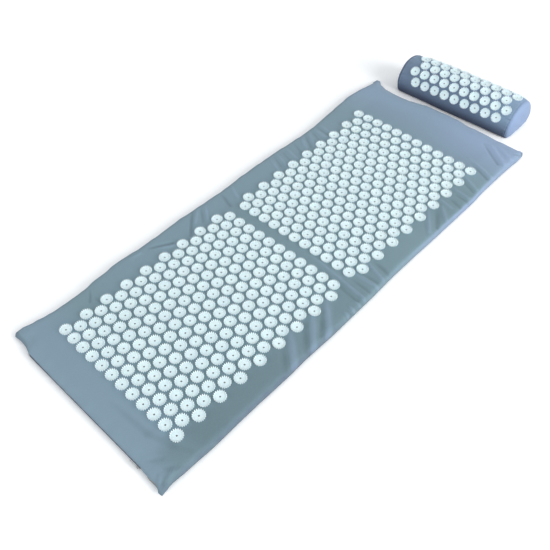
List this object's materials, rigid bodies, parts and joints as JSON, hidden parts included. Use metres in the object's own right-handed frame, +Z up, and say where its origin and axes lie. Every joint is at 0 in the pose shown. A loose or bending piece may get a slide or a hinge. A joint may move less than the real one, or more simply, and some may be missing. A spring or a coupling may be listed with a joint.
{
  "type": "acupressure mat",
  "caption": "Folding acupressure mat: zipped cotton cover over foam with two fields of spiked lotus discs, and a matching half-round neck pillow standing behind its head end",
  "frame": {"origin": "middle of the mat's flat underside, on the floor", "axes": "+Y towards the head end, where the pillow stands; +Z up; +X to the right of someone who stands at the foot end and looks along +Y"},
  "size_m": [0.508, 1.4537, 0.0973],
  "materials": {
    "cotton": "plain-woven cotton with moulded discs",
    "foam": "open-cell foam",
    "zip_tape": "woven tape",
    "zip_coil": "nylon coil",
    "zip_metal": "plated"
  },
  "bodies": {
    "head_half": {"top_panel_head": "cotton", "bottom_panel_head": "cotton", "foam_head": "foam", "top_panel_fold": "cotton", "bottom_panel_fold": "cotton"},
    "foot_half": {"top_panel_foot": "cotton", "bottom_panel_foot": "cotton", "foam_foot": "foam", "mat_zip_tape_upper": "zip_tape", "mat_zip_tape_lower": "zip_tape", "mat_zip_coil_upper": "zip_coil", "mat_zip_coil_lower": "zip_coil", "mat_zip_top_stop": "zip_metal", "mat_zip_bottom_stop": "zip_metal"},
    "mat_zip_slider": {"mat_zip_slider": "zip_metal"},
    "mat_zip_pull": {"mat_zip_pull": "zip_metal"},
    "pillow": {"pillow_barrel": "cotton", "pillow_base": "cotton", "pillow_end_left": "cotton", "pillow_end_right": "cotton", "pillow_foam": "foam", "pillow_zip_tape_upper": "zip_tape", "pillow_zip_tape_lower": "zip_tape", "pillow_zip_coil_upper": "zip_coil", "pillow_zip_coil_lower": "zip_coil", "pillow_zip_top_stop": "zip_metal", "pillow_zip_bottom_stop": "zip_metal"},
    "pillow_zip_slider": {"pillow_zip_slider": "zip_metal"},
    "pillow_zip_pull": {"pillow_zip_pull": "zip_metal"}
  },
  "joints": [
    {"name": "fold", "type": "hinge", "parent": "head_half", "child": "foot_half", "pos_m": [0, -0.051, 0.0306], "axis": [-1, 0, 0], "range_deg": [0, 180], "deforming": ["top_panel_fold", "bottom_panel_fold"]},
    {"name": "mat_zip_run", "type": "slide", "parent": "foot_half", "child": "mat_zip_slider", "axis": [-1, 0, 0], "range_m": [0, 0.357]},
    {"name": "mat_pull_swing", "type": "hinge", "parent": "mat_zip_slider", "child": "mat_zip_pull", "pos_m": [0.1785, -0.65235, 0.009], "axis": [0, 0, 1], "range_deg": [0, 180]},
    {"name": "pillow_lift", "type": "slide", "parent": "head_half", "child": "pillow", "axis": [0, 0, 1], "range_m": [0, 0.25]},
    {"name": "pillow_zip_run", "type": "slide", "parent": "pillow", "child": "pillow_zip_slider", "axis": [1, 0, 0], "range_m": [0, 0.238]},
    {"name": "pillow_pull_swing", "type": "hinge", "parent": "pillow_zip_slider", "child": "pillow_zip_pull", "pos_m": [-0.1235, 0.79806, 0.0275], "axis": [0, 0, 1], "range_deg": [0, 180]}
  ]
}
